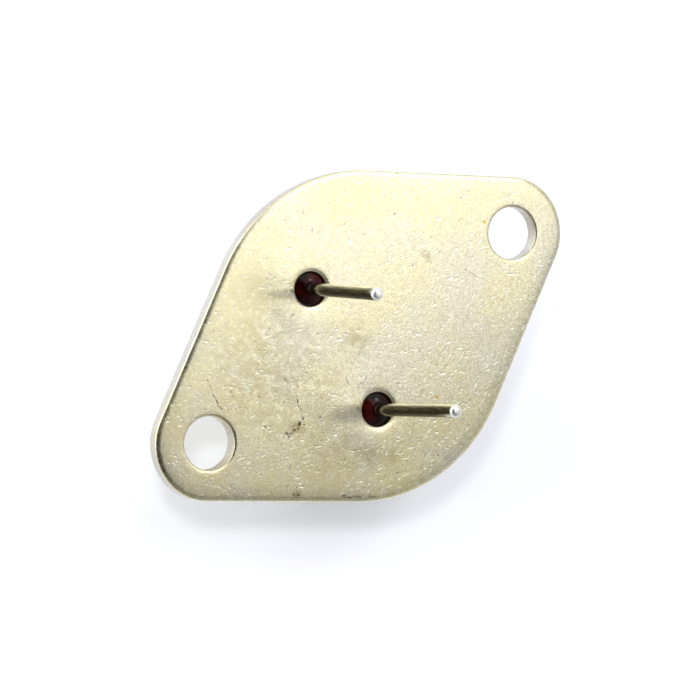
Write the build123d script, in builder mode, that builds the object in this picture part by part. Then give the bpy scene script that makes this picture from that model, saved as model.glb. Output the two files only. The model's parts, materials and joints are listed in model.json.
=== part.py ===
from build123d import *
from math import sqrt
import os

os.makedirs("parts", exist_ok=True)

# Metal-can voltage regulator, millimetres.
# Frame: X runs through the two mounting holes and Y along the row of leads. Z = 0 is the seating
# face, the flat side of the flange that the leads stand out of. The leads point to +Z and the can
# hangs to -Z, so the part stands on the flat top of its can.
# The origin is the middle of the line between the two mounting holes.

# ---------------------------------------------------------------- driving dimensions

# Flange: the convex outline round a middle disc and two ear discs, stamped from sheet.
hole_spacing = 30.15
hole_diameter = 4.08
middle_radius = 12.75
ear_radius = 4.4
flange_thickness = 1.45
seating_edge_roll = 0.4
back_edge_break = 0.25
hole_mouth_roll = 0.2
hole_back_break = 0.1

# Leads and their glass seals.
lead_pitch = 10.92
far_hole_to_lead_row = 16.95
eyelet_diameter = 2.66
eyelet_mouth_chamfer = 0.2
lead_diameter = 0.98
lead_length = 11.5
lead_tip_flat = 0.16
lead_inner_length = 1.6
nail_head_diameter = 1.5
nail_head_thickness = 0.35
input_lead_lean_degrees = 0.6
input_lead_lean_heading_degrees = -90
output_lead_lean_degrees = 5.3
output_lead_lean_heading_degrees = -4
lean_bend_radius = 3.0
lean_starts_above_face = 0.3
glass_edge_depth = 0.34
glass_crown_depth = 0.14
glass_neck_depth = 0.07

# Can: a drawn shell of even wall with a turned-out rim, welded to the back of the flange.
package_height = 8.6
cap_wall = 0.5
cap_rim_margin = 1.7
cap_rim_width = 1.3
cap_corner_radius = 1.1
cap_rim_bend = 0.35

# Inside the can: heat spreader, chip and bond wires.
spreader_centre_x = 1.0
spreader_length = 8.5
spreader_width = 7.0
spreader_thickness = 1.0
spreader_edge_break = 0.15
braze_thickness = 0.08
braze_fillet_width = 0.15
die_centre_x = 0.2
die_length = 3.0
die_width = 2.8
die_thickness = 0.38
solder_thickness = 0.05
solder_fillet_width = 0.12
wire_diameter = 0.25
wire_loop_height = 1.0
wire_loop_run = 0.9
foot_length = 0.7
foot_width = 0.36
foot_thickness = 0.14
foot_inset = 0.55
foot_pair_spacing = 0.56

# ---------------------------------------------------------------- places worked out from them

ear_x = hole_spacing / 2
lead_row_x = ear_x - far_hole_to_lead_row
lead_y = lead_pitch / 2
lead_radius = lead_diameter / 2
eyelet_radius = eyelet_diameter / 2
flange_back_z = -flange_thickness
post_end_z = flange_back_z - lead_inner_length

cap_top_z = -package_height
cap_rim_radius = middle_radius - cap_rim_margin
can_radius = cap_rim_radius - cap_rim_width
can_bore_radius = can_radius - cap_wall
cap_inside_z = cap_top_z + cap_wall
cap_inside_bevel = (cap_corner_radius - cap_wall) * (2 - sqrt(2))

spreader_face_z = flange_back_z - braze_thickness - spreader_thickness
die_back_z = spreader_face_z - solder_thickness
die_face_z = die_back_z - die_thickness


def save(piece, name):
    """Label one finished piece and write it as one STEP file."""
    piece.part.label = name
    export_step(piece.part, f"parts/{name}.step")
    print(f"{name}: {piece.part.volume:.3f} mm3")


# ---------------------------------------------------------------- flange

with BuildPart() as header_flange:
    with BuildSketch(Plane.XY.offset(flange_back_z)):
        Circle(middle_radius)
        with Locations((-ear_x, 0), (ear_x, 0)):
            Circle(ear_radius)
        make_hull()
    extrude(amount=flange_thickness)

    # The stamping die rounds the rim towards the seating face; the back only loses its burr.
    seating_face = header_flange.faces().sort_by(Axis.Z)[-1]
    fillet(seating_face.edges(), radius=seating_edge_roll)
    back_face = header_flange.faces().sort_by(Axis.Z)[0]
    chamfer(back_face.edges(), length=back_edge_break)

    # Two mounting holes on the ears, punched from the seating side, so their mouths are rolled in.
    with Locations((-ear_x, 0), (ear_x, 0)):
        Hole(radius=hole_diameter / 2)
    seating_face = header_flange.faces().sort_by(Axis.Z)[-1]
    fillet(seating_face.inner_wires().edges(), radius=hole_mouth_roll)

    # Two eyelets for the glass seals, with a chamfered mouth.
    with Locations((lead_row_x, -lead_y), (lead_row_x, lead_y)):
        CounterSinkHole(
            radius=eyelet_radius,
            counter_sink_radius=eyelet_radius + eyelet_mouth_chamfer,
            counter_sink_angle=90,
        )
    back_face = header_flange.faces().sort_by(Axis.Z)[0]
    chamfer(back_face.inner_wires().edges(), length=hole_back_break)
save(header_flange, "header_flange")

# ---------------------------------------------------------------- can

with BuildPart() as cap:
    with BuildSketch(Plane.XZ):
        with BuildLine():
            outside = FilletPolyline(
                (0, cap_top_z),
                (can_radius, cap_top_z),
                (can_radius, flange_back_z - cap_wall - cap_rim_bend),
                radius=cap_corner_radius,
            )
            rim = Polyline(
                outside @ 1,
                (can_radius + cap_rim_bend, flange_back_z - cap_wall),
                (cap_rim_radius, flange_back_z - cap_wall),
                (cap_rim_radius, flange_back_z),
                (can_bore_radius + cap_rim_bend, flange_back_z),
                (can_bore_radius, flange_back_z - cap_rim_bend),
            )
            Polyline(
                rim @ 1,
                (can_bore_radius, cap_inside_z + cap_inside_bevel),
                (can_bore_radius - cap_inside_bevel, cap_inside_z),
                (0, cap_inside_z),
                outside @ 0,
            )
        make_face()
    revolve(axis=Axis.Z)
save(cap, "cap")

# ---------------------------------------------------------------- glass seals


for seal_name, seal_y in (("input_seal", lead_y), ("output_seal", -lead_y)):
    with BuildPart() as seal:
        with BuildSketch(Plane((lead_row_x, seal_y, 0), x_dir=(1, 0, 0), z_dir=(0, -1, 0))):
            with BuildLine():
                # The melted bead is crowned: low at the eyelet's wall, highest at the lead.
                crown = ThreePointArc(
                    (lead_radius, -glass_neck_depth),
                    ((lead_radius + eyelet_radius) / 2, -glass_crown_depth),
                    (eyelet_radius, -glass_edge_depth),
                )
                Polyline(
                    crown @ 1,
                    (eyelet_radius, flange_back_z + glass_edge_depth),
                    (lead_radius, flange_back_z + glass_neck_depth),
                    crown @ 0,
                )
            make_face()
        revolve(axis=Axis((lead_row_x, seal_y, 0), (0, 0, 1)))
    save(seal, seal_name)

# ---------------------------------------------------------------- leads

# Each lead is one wire: a nail head inside the can for the bond wires, a straight run through
# the glass, and a domed tip. Neither stands quite square: each leans from just above its seal,
# and the heading says which way, counted from +X towards +Y.
tip_roll = lead_radius - lead_tip_flat / 2


def make_lead(name, seat_y, lean_degrees, heading_degrees):
    """Make one lead, drawn in the upright plane through its seat that it leans in."""
    seat = Location((lead_row_x, seat_y, 0), (0, 0, heading_degrees))
    lean_plane = Plane(seat * Location((0, 0, 0), (90, 0, 0)))
    foot_plane = Plane(seat * Location((0, 0, post_end_z)))
    with BuildPart() as lead:
        with BuildLine(lean_plane):
            stem = Line((0, post_end_z), (0, lean_starts_above_face))
            bend = JernArc(stem @ 1, stem % 1, lean_bend_radius, -lean_degrees)
            shank_length = lead_length - lean_starts_above_face - bend.length
            Line(bend @ 1, bend @ 1 + shank_length * (bend % 1))
        with BuildSketch(foot_plane):
            Circle(lead_radius)
        sweep()
        fillet(lead.faces().sort_by(Axis.Z)[-1].edges(), radius=tip_roll)
        with BuildSketch(foot_plane):
            Circle(nail_head_diameter / 2)
        extrude(amount=nail_head_thickness)
    save(lead, name)


make_lead("input_lead", lead_y, input_lead_lean_degrees, input_lead_lean_heading_degrees)
make_lead("output_lead", -lead_y, output_lead_lean_degrees, output_lead_lean_heading_degrees)

# ---------------------------------------------------------------- heat spreader and chip

# The stack is built downwards from the back of the flange: braze, copper, solder, silicon.
with BuildPart() as spreader_braze:
    with BuildSketch(Plane.XY.offset(flange_back_z - braze_thickness)):
        with Locations((spreader_centre_x, 0)):
            Rectangle(spreader_length + 2 * braze_fillet_width, spreader_width + 2 * braze_fillet_width)
    extrude(amount=braze_thickness)
save(spreader_braze, "spreader_braze")

with BuildPart() as heat_spreader:
    with BuildSketch(Plane.XY.offset(spreader_face_z)):
        with Locations((spreader_centre_x, 0)):
            Rectangle(spreader_length, spreader_width)
    extrude(amount=spreader_thickness)
    fillet(heat_spreader.edges().filter_by(Axis.Z), radius=spreader_edge_break)
    chamfer(heat_spreader.faces().sort_by(Axis.Z)[0].edges(), length=spreader_edge_break)
save(heat_spreader, "heat_spreader")

with BuildPart() as die_solder:
    with BuildSketch(Plane.XY.offset(die_back_z)):
        with Locations((die_centre_x, 0)):
            Rectangle(die_length + 2 * solder_fillet_width, die_width + 2 * solder_fillet_width)
    extrude(amount=solder_thickness)
save(die_solder, "die_solder")

with BuildPart() as regulator_die:
    with BuildSketch(Plane.XY.offset(die_face_z)):
        with Locations((die_centre_x, 0)):
            Rectangle(die_length, die_width)
    extrude(amount=die_thickness)
save(regulator_die, "regulator_die")

# ---------------------------------------------------------------- bond wires


def bond_wire(name, first_foot, last_foot):
    """Make one aluminium wire: a bent loop between two feet that the bonding tool pressed flat."""
    along = Vector(last_foot.X - first_foot.X, last_foot.Y - first_foot.Y, 0).normalized()
    down = Vector(0, 0, -1)
    start = first_foot + down * (wire_diameter / 2)
    end = last_foot + down * (wire_diameter / 2)
    loop_z = min(start.Z, end.Z) - wire_loop_height
    rise_end = Vector(start.X, start.Y, loop_z) + along * wire_loop_run
    fall_start = Vector(end.X, end.Y, loop_z) - along * wire_loop_run
    with BuildPart() as wire:
        with BuildLine():
            Polyline(start, rise_end, fall_start, end)
        with BuildSketch(Plane(start, z_dir=rise_end - start)):
            Circle(wire_diameter / 2)
        sweep(transition=Transition.RIGHT)
        for foot in (first_foot, last_foot):
            with BuildSketch(Plane(foot, x_dir=along, z_dir=down)):
                Rectangle(foot_length, foot_width)
            extrude(amount=foot_thickness)
    save(wire, name)


die_foot_y = die_width / 2 - foot_inset
die_end_x = die_centre_x + die_length / 2
pair_step = foot_pair_spacing / 2
spreader_foot_x = spreader_centre_x + spreader_length / 2 - spreader_edge_break - foot_length

bond_wire(
    "input_wire",
    Vector(die_centre_x, die_foot_y, die_face_z),
    Vector(lead_row_x, lead_y, post_end_z),
)
bond_wire(
    "output_wire",
    Vector(die_centre_x - 2 * pair_step, -die_foot_y, die_face_z),
    Vector(lead_row_x - pair_step, -lead_y, post_end_z),
)
bond_wire(
    "sense_wire",
    Vector(die_centre_x + 2 * pair_step, -die_foot_y, die_face_z),
    Vector(lead_row_x + pair_step, -lead_y, post_end_z),
)
bond_wire(
    "ground_wire",
    Vector(die_end_x - foot_inset, 0, die_face_z),
    Vector(spreader_foot_x, 0, spreader_face_z),
)
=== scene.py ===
# %% [markdown]
# # A metal-can voltage regulator
# This power regulator is a drawn steel can welded to a lozenge-shaped flange. Two leads come
# through the flange, each held in a bead of dark glass that lets no current into the metal.
# It stands here on the flat top of its can, with the seating face and the leads upwards.
# The CAD model gives every place and size. Blender adds what CAD leaves plain: the soft edges of
# a stamped plate, the marks of barrel tumbling, the gloss of the glass, and the light.

# %% Open the CAD model as the frame
import json
from math import acos, atan2, ceil, cos, degrees, exp, hypot, pi, radians, sin

import bmesh
import bpy
from mathutils import Matrix, Vector, noise
from mathutils.geometry import delaunay_2d_cdt


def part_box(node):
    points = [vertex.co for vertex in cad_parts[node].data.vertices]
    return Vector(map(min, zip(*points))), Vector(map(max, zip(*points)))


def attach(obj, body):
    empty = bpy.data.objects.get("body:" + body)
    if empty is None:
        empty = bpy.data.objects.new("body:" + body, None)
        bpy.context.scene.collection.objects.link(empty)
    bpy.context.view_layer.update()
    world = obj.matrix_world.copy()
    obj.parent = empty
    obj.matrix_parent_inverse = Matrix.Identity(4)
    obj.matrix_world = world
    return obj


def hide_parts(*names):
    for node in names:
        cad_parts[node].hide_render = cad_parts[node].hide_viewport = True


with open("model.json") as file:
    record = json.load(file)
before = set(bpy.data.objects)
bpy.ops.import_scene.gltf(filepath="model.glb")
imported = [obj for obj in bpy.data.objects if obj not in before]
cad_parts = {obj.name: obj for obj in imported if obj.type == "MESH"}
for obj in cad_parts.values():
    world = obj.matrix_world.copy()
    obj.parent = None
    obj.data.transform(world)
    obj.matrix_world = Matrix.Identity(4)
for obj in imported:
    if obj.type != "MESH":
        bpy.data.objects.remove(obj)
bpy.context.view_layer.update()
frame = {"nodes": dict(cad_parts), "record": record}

print("nodes:", sorted(frame["nodes"]))

# %% [markdown]
# ## Sizes
# Blender works in metres, but an electronic part is drawn in millimetres. The numbers below are
# kept in millimetres, and only a finished mesh is scaled down to metres. The boxes of the CAD
# nodes and the mounts in the record say where each piece is, so nothing is measured twice.

# %% Read the sizes from the CAD nodes
MM = 0.001


def box_mm(node):
    """Lowest and highest corner of one CAD node, in millimetres."""
    low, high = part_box(node)
    return low / MM, high / MM


mounts = {mount["name"]: mount for mount in frame["record"]["mounts"]}
plate_low, plate_high = box_mm("header_flange")
cap_low, cap_high = box_mm("cap")
back_z = plate_low.z
hole_x = mounts["far_hole"]["pos_m"][0] / MM
hole_radius = mounts["far_hole"]["dims"]["r_mm"]
lead_radius = mounts["input_lead_shank"]["dims"]["r_mm"]
middle_radius = plate_high.y
ear_radius = plate_high.x - hole_x
print("plate", plate_low, plate_high)
print("ear radius", round(ear_radius, 3), "hole radius", hole_radius)

# %% [markdown]
# ## Small helpers for node trees
# Materials and Geometry Nodes are both built from nodes and links. One helper adds a node and
# fills its inputs, each with a plain value or with the output of an earlier node, so that a
# recipe reads from top to bottom. The others are short names for the steps that recipes use most.

# %% Helpers that add nodes
def add_node(tree, kind, inputs=None, **settings):
    """Add one node, set its options, then fill its inputs with values or with links."""
    node = tree.nodes.new(kind)
    for option, value in settings.items():
        setattr(node, option, value)
    for socket, value in (inputs or {}).items():
        if isinstance(value, bpy.types.NodeSocket):
            tree.links.new(value, node.inputs[socket])
        else:
            node.inputs[socket].default_value = value
    return node


def calc(tree, operation, *values):
    """One step of arithmetic. Returns the output to link on."""
    inputs = dict(enumerate(values))
    return add_node(tree, "ShaderNodeMath", inputs, operation=operation).outputs[0]


def vector_calc(tree, operation, *values):
    """One step of vector arithmetic. Returns the vector output."""
    inputs = dict(enumerate(values))
    return add_node(tree, "ShaderNodeVectorMath", inputs, operation=operation).outputs[0]


def vector_measure(tree, operation, *values):
    """A length, a distance or a dot product of vectors. Returns the number output."""
    inputs = dict(enumerate(values))
    return add_node(tree, "ShaderNodeVectorMath", inputs, operation=operation).outputs["Value"]


def scaled(tree, vector, factor):
    """A vector made longer or shorter by a factor."""
    inputs = {0: vector, "Scale": factor}
    return add_node(tree, "ShaderNodeVectorMath", inputs, operation="SCALE").outputs[0]


def split(tree, vector):
    """The x, y and z of a vector, as three outputs."""
    return add_node(tree, "ShaderNodeSeparateXYZ", {0: vector}).outputs


def smooth_step(tree, value, low, high):
    """0 below low, 1 above high, and a soft S between them. low may be the larger number."""
    inputs = {"Value": value, "From Min": low, "From Max": high, "To Min": 0.0, "To Max": 1.0}
    return add_node(tree, "ShaderNodeMapRange", inputs, interpolation_type="SMOOTHSTEP").outputs[0]


def blend_colours(tree, factor, first, second):
    """Mix two colours. Each may be a plain colour or a link."""
    inputs = {0: factor, 6: first, 7: second}
    return add_node(tree, "ShaderNodeMix", inputs, data_type="RGBA").outputs[2]


def millimetres(tree):
    """The point on the piece's own surface, in millimetres."""
    place = add_node(tree, "ShaderNodeTexCoord").outputs["Object"]
    return scaled(tree, place, 1 / MM)


def noise_at(tree, place, scale, detail=2.0, roughness=0.5):
    """Soft clouds between 0 and 1. scale counts clouds per millimetre."""
    inputs = {"Vector": place, "Scale": scale, "Detail": detail, "Roughness": roughness}
    return add_node(tree, "ShaderNodeTexNoise", inputs).outputs["Fac"]


def name_sockets(tree, direction, kind, *names):
    """Give a node group its inputs or its outputs, all of one kind."""
    for name in names:
        tree.interface.new_socket(name, in_out=direction, socket_type="NodeSocket" + kind)


# %% [markdown]
# ## The marks of barrel tumbling
# Stamped plates are tumbled together in a barrel before they are plated, and knock hundreds of
# tiny nicks into each other. Each nick is a short, shallow groove. A Voronoi texture deals out
# one random point to each cell of a grid: the distance from that point, turned by a random angle
# and stretched, draws one groove in each cell. A node group keeps the recipe in one place, so the
# same nicks can be laid down coarse and fine.

# %% A node group that draws one nick in each cell
def make_nick_group():
    """One nick in each cell of a grid over Place. Depth is 1 in the middle of a nick, 0 outside it.

    Cell, Length and Width are in millimetres, and Share is the share of the cells with a nick.
    The nicks turn by up to half of Spread either way from Heading, both in radians.
    """
    tree = bpy.data.node_groups.new("tumbling nicks", "ShaderNodeTree")
    name_sockets(tree, "INPUT", "Vector", "Place")
    name_sockets(tree, "INPUT", "Float", "Cell", "Length", "Width", "Share", "Heading", "Spread")
    name_sockets(tree, "OUTPUT", "Float", "Depth")
    given = add_node(tree, "NodeGroupInput").outputs
    per_mm = calc(tree, "DIVIDE", 1.0, given["Cell"])
    cells = add_node(tree, "ShaderNodeTexVoronoi", {"Vector": given["Place"], "Scale": per_mm},
                     voronoi_dimensions="2D").outputs
    chance = add_node(tree, "ShaderNodeSeparateColor", {0: cells["Color"]}).outputs
    away = vector_calc(tree, "SUBTRACT", given["Place"], cells["Position"])
    turn = calc(tree, "SUBTRACT", chance[0], 0.5)
    turn = calc(tree, "MULTIPLY_ADD", turn, given["Spread"], given["Heading"])
    turned = add_node(tree, "ShaderNodeVectorRotate", {"Vector": away, "Angle": turn},
                      rotation_type="Z_AXIS", invert=True).outputs[0]
    in_nick = split(tree, turned)
    length = calc(tree, "MULTIPLY", given["Length"], calc(tree, "ADD", chance[1], 0.4))
    width = calc(tree, "MULTIPLY", given["Width"], calc(tree, "ADD", chance[2], 0.5))
    along = calc(tree, "POWER", calc(tree, "DIVIDE", in_nick[0], length), 2.0)
    across = calc(tree, "POWER", calc(tree, "DIVIDE", in_nick[1], width), 2.0)
    groove = calc(tree, "EXPONENT", calc(tree, "MULTIPLY", calc(tree, "ADD", along, across), -1.0))
    # The later digits of the first chance give a fresh one: whether the cell has a nick at all.
    later_digits = calc(tree, "FRACT", calc(tree, "MULTIPLY", chance[0], 7.31))
    kept = calc(tree, "LESS_THAN", later_digits, given["Share"])
    add_node(tree, "NodeGroupOutput", {"Depth": calc(tree, "MULTIPLY", groove, kept)})
    return tree


nick_group = make_nick_group()
print("nick group:", len(nick_group.nodes), "nodes")

# %% [markdown]
# A scratch from handling is one line between two points. The distance from that line is worked
# out with vector arithmetic, so a scratch needs no image, only its two ends in millimetres.

# %% A node group that draws one scratch
def make_scratch_group():
    """One scratch from Start to End. Mark is 1 on the line between them and 0 at Width from it."""
    tree = bpy.data.node_groups.new("handling scratch", "ShaderNodeTree")
    name_sockets(tree, "INPUT", "Vector", "Place", "Start", "End")
    name_sockets(tree, "INPUT", "Float", "Width")
    name_sockets(tree, "OUTPUT", "Float", "Mark")
    given = add_node(tree, "NodeGroupInput").outputs
    from_start = vector_calc(tree, "SUBTRACT", given["Place"], given["Start"])
    line = vector_calc(tree, "SUBTRACT", given["End"], given["Start"])
    share = calc(tree, "DIVIDE", vector_measure(tree, "DOT_PRODUCT", from_start, line),
                 vector_measure(tree, "DOT_PRODUCT", line, line))
    share = add_node(tree, "ShaderNodeClamp", {"Value": share}).outputs[0]
    gap = vector_calc(tree, "SUBTRACT", from_start, scaled(tree, line, share))
    distance = vector_measure(tree, "LENGTH", gap)
    add_node(tree, "NodeGroupOutput", {"Mark": smooth_step(tree, distance, given["Width"], 0.0)})
    return tree


scratch_group = make_scratch_group()
print("scratch group:", len(scratch_group.nodes), "nodes")


def scratch(tree, place, start, end, width):
    """The mark of one scratch from start to end, each an (x, y) on the plate in millimetres."""
    inputs = {"Place": place, "Start": (*start, 0.0), "End": (*end, 0.0), "Width": width}
    return add_node(tree, "ShaderNodeGroup", inputs, node_tree=scratch_group).outputs[0]


# %% [markdown]
# ## Satin nickel
# Nickel plate on tumbled steel is warm grey with a soft, wide sheen. Its tone drifts from cream to
# grey in slow clouds, its roughness drifts in small ones, and fine dark and bright grit breaks up
# the sheen. The dark grit thins out toward +Y. A bump carries the grain and the nicks. The nicks
# are laid flat on the face from above, so they fade out where a wall turns away from it, and the
# walls keep a greyer tone of their own.

# %% Helpers that start a finish and fill its shader
def new_finish(name, metallic):
    """A new material. Returns it with its tree of nodes and its shader."""
    finish = bpy.data.materials.new(name)
    finish.use_nodes = True
    shader = finish.node_tree.nodes["Principled BSDF"]
    shader.inputs["Metallic"].default_value = metallic
    return finish, finish.node_tree, shader


def set_roughness(tree, shader, clouds, low, high):
    """Let the roughness drift with the clouds, from low to high."""
    inputs = {"Value": clouds, "From Min": 0.3, "From Max": 0.7, "To Min": low, "To Max": high}
    tree.links.new(add_node(tree, "ShaderNodeMapRange", inputs).outputs[0], shader.inputs["Roughness"])


def set_bump(tree, shader, height, depth):
    """Raise the surface by height times depth, in millimetres."""
    inputs = {"Height": height, "Distance": depth * MM, "Strength": 1.0}
    tree.links.new(add_node(tree, "ShaderNodeBump", inputs).outputs[0], shader.inputs["Normal"])


def nicks_at(tree, place, cell, length, width, heading, spread):
    """Nicks from the nick group, in a little over half of its cells."""
    inputs = {"Place": place, "Cell": cell, "Length": length, "Width": width,
              "Share": 0.55, "Heading": heading, "Spread": spread}
    return add_node(tree, "ShaderNodeGroup", inputs, node_tree=nick_group).outputs[0]


# %% A recipe for satin nickel, for the plate and the can
dark_grit = (0.30, 0.265, 0.18, 1)
bright_grit = (1.0, 0.97, 0.87, 1)
fresh_metal = (1.0, 0.99, 0.92, 1)


def satin_nickel(name, warm, cool, wall, roughness, grain_height, nick_height):
    """A nickel finish with drifting tone, grit, grain and nicks. Heights are in millimetres.

    Returns the finish, its tree and shader, and the place and the tone to build on.
    """
    finish, tree, shader = new_finish(name, 1.0)
    place = millimetres(tree)
    normal = add_node(tree, "ShaderNodeTexCoord").outputs["Normal"]
    up = calc(tree, "ABSOLUTE", split(tree, normal)[2])
    flat = smooth_step(tree, up, 0.5, 0.9)

    # Slow clouds of tone, then the grit.
    clouds = noise_at(tree, place, 0.16, detail=3.0)
    tone = blend_colours(tree, smooth_step(tree, clouds, 0.35, 0.65), warm, cool)
    grain = noise_at(tree, place, 5.0, detail=4.0, roughness=0.7)
    grit_place = vector_calc(tree, "ADD", place, (2.3, 5.1, 0.7))
    grit = noise_at(tree, grit_place, 8.5, detail=1.0, roughness=0.6)
    dim = calc(tree, "MULTIPLY", smooth_step(tree, grain, 0.60, 0.32), 0.24)
    dim = calc(tree, "MULTIPLY_ADD", smooth_step(tree, grit, 0.52, 0.28), 0.36, dim)
    # The dark grit fades out toward +Y.
    grit_fade_toward_y = smooth_step(tree, split(tree, place)[1], 10.0, -5.0)
    dim = calc(tree, "MULTIPLY", dim, calc(tree, "MULTIPLY_ADD", grit_fade_toward_y, 0.72, 0.38))
    tone = blend_colours(tree, dim, tone, dark_grit)
    glint = calc(tree, "MULTIPLY", smooth_step(tree, grit, 0.54, 0.72), 0.55)
    tone = blend_colours(tree, glint, tone, bright_grit)
    speckle = noise_at(tree, place, 2.2, detail=3.0, roughness=0.6)
    set_roughness(tree, shader, speckle, roughness - 0.05, roughness + 0.06)

    # Fine and coarse nicks, crowded in some places and sparse in others.
    fine = nicks_at(tree, place, cell=0.36, length=0.11, width=0.042, heading=0.0, spread=2.4)
    coarse_place = vector_calc(tree, "ADD", place, (3.7, 9.1, 0.0))
    coarse = nicks_at(tree, coarse_place, cell=0.85, length=0.20, width=0.043, heading=0.05, spread=1.6)
    crowd = smooth_step(tree, noise_at(tree, place, 0.42, detail=2.0), 0.36, 0.62)
    nicks = calc(tree, "MULTIPLY_ADD", fine, 0.8, coarse)
    nicks = calc(tree, "MULTIPLY", nicks, calc(tree, "MULTIPLY_ADD", crowd, 0.75, 0.35))
    nicks = calc(tree, "MULTIPLY", nicks, flat)
    tone = blend_colours(tree, calc(tree, "MULTIPLY", nicks, 0.95), tone, fresh_metal)
    tone = blend_colours(tree, smooth_step(tree, up, 0.45, 0.15), tone, wall)
    tree.links.new(tone, shader.inputs["Base Color"])

    # The height of the surface, counted in nick depths. It is calmer on the walls.
    grain_share = grain_height / nick_height
    height = calc(tree, "MULTIPLY_ADD", grain, grain_share, calc(tree, "MULTIPLY", nicks, -1.0))
    height = calc(tree, "MULTIPLY_ADD", speckle, 1.2 * grain_share, height)
    height = calc(tree, "MULTIPLY", height, calc(tree, "MULTIPLY_ADD", flat, 0.8, 0.2))
    set_bump(tree, shader, height, nick_height)
    return finish, tree, shader, place, tone


# %% [markdown]
# The plate has had a life: dark scratches and specks sit on its seating face. The scratches are
# placed one by one, because on the real part they are accidents and follow no rule. A slow noise
# makes their lines wander, and a faster one breaks them up. The specks come from noise alone.

# %% The plate's own finish, with its scratches
plate_nickel, tree, shader, place, tone = satin_nickel(
    "plate nickel", warm=(0.86, 0.795, 0.505, 1), cool=(0.80, 0.76, 0.58, 1), wall=(0.62, 0.59, 0.54, 1),
    roughness=0.30, grain_height=0.0040, nick_height=0.010)

# Each scratch is (start, end, width, strength), on the plate in millimetres.
plate_scratches = [
    ((-12.74, 4.18), (-12.86, 2.9), 0.07, 0.6), ((-12.86, 2.9), (-12.95, 1.63), 0.10, 0.9),
    ((-7.24, -0.87), (-7.44, -2.1), 0.12, 1.0), ((-7.5, -2.5), (-7.75, -3.0), 0.14, 0.9),
    ((-8.0, -2.7), (-8.3, -3.15), 0.15, 1.0), ((-8.3, -3.15), (-8.75, -2.95), 0.13, 1.0),
    ((-8.9, -3.05), (-9.35, -2.75), 0.13, 0.9), ((-9.3, -2.8), (-9.3, -3.4), 0.10, 0.9),
    ((-7.9, -3.3), (-8.2, -3.75), 0.09, 0.8), ((9.99, 0.06), (10.73, -1.41), 0.07, 0.6),
    ((-2.96, -1.71), (-2.95, -3.16), 0.07, 0.45), ((-7.36, 0.93), (-7.28, 0.42), 0.08, 0.7),
    ((-5.76, 2.43), (-6.53, 1.66), 0.06, 0.4), ((-4.3, 4.62), (-3.8, 4.6), 0.10, 0.9),
    ((-7.9, -9.55), (-5.6, -11.0), 0.16, 0.65), ((-11.2, -7.2), (-10.8, -7.4), 0.18, 0.9),
]
wobble = add_node(tree, "ShaderNodeTexNoise", {"Vector": place, "Scale": 1.6, "Detail": 3.0}).outputs["Color"]
wobble = vector_calc(tree, "SUBTRACT", wobble, (0.5, 0.5, 0.5))
flat_place = vector_calc(tree, "MULTIPLY", place, (1.0, 1.0, 0.0))
wandering_place = vector_calc(tree, "MULTIPLY_ADD", wobble, (0.5, 0.5, 0.0), flat_place)
broken = smooth_step(tree, noise_at(tree, place, 4.5, detail=1.0), 0.36, 0.56)
marks = 0.0
for start, end, width, strength in plate_scratches:
    one = calc(tree, "MULTIPLY", scratch(tree, wandering_place, start, end, width), strength)
    marks = calc(tree, "MAXIMUM", marks, one)
marks = calc(tree, "MULTIPLY", marks, broken)

specks = noise_at(tree, place, 2.6, detail=2.0, roughness=0.65)
specks = calc(tree, "MULTIPLY", smooth_step(tree, specks, 0.70, 0.76), 0.8)
marks = calc(tree, "MAXIMUM", marks, specks)
print("plate scratches:", len(plate_scratches))

# %% [markdown]
# Stains are softer than scratches. A few brown ones lie where liquid has dried, and one of them,
# at (-8.5, -2.95), also paints the shade of a small fold. Warm straw patches lie where the plating
# has begun to yellow. Each is a round patch that fades outwards, and clouds break it up so that it
# doesn't read as a circle.

# %% Stains and warm patches on the plate
# Each patch is ((x, y), radius, strength), on the plate in millimetres.
plate_stains_and_fold_shade = [
    ((-0.63, 0.17), 2.0, 0.5), ((-4.3, -8.2), 1.5, 0.5), ((-6.3, -6.8), 1.2, 0.45), ((-2.8, -9.2), 1.1, 0.4),
    # The patch at (-8.5, -2.95) is partly a stain and partly painted shade of a small fold.
    ((-8.5, -2.95), 1.1, 0.8), ((-8.0, 1.2), 7.0, 0.34), ((-6.4, -5.6), 5.0, 0.34), ((7.77, 2.44), 0.7, 0.6),
    ((-10.32, 2.77), 0.22, 0.9), ((-11.62, 2.39), 0.22, 0.9), ((-11.57, 2.0), 0.16, 0.8),
    ((-10.9, 1.66), 0.16, 0.7), ((-10.85, 0.64), 0.20, 0.7), ((7.36, 5.23), 0.16, 0.6),
    ((8.9, 3.46), 0.14, 0.6), ((-10.98, -7.25), 0.5, 0.7),
]
warm_patches = [
    ((-8.4, 5.45), 4.6, 0.7), ((-5.8, 7.5), 4.0, 0.5), ((-12.4, 2.1), 4.4, 0.7), ((-15.8, -1.9), 4.0, 0.7),
    ((-8.2, -7.8), 4.6, 0.7), ((-12.6, -5.2), 4.0, 0.6), ((-3.2, -10.2), 4.4, 0.6), ((3.5, 10.0), 4.0, 0.4),
    ((1.5, -9.0), 3.4, 0.5), ((-17.0, 2.2), 3.4, 0.6),
]
straw = (0.80, 0.70, 0.36, 1)
stain_and_shade_brown = (0.36, 0.29, 0.13, 1)
scratch_black = (0.07, 0.055, 0.03, 1)


def patches(tree, place, spots):
    """Soft round patches, the strongest one counting at each place."""
    total = 0.0
    for (x, y), radius, strength in spots:
        away = vector_measure(tree, "DISTANCE", place, (x, y, 0.0))
        spot = calc(tree, "MULTIPLY", smooth_step(tree, away, radius, 0.0), strength)
        total = calc(tree, "MAXIMUM", total, spot)
    return total


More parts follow.
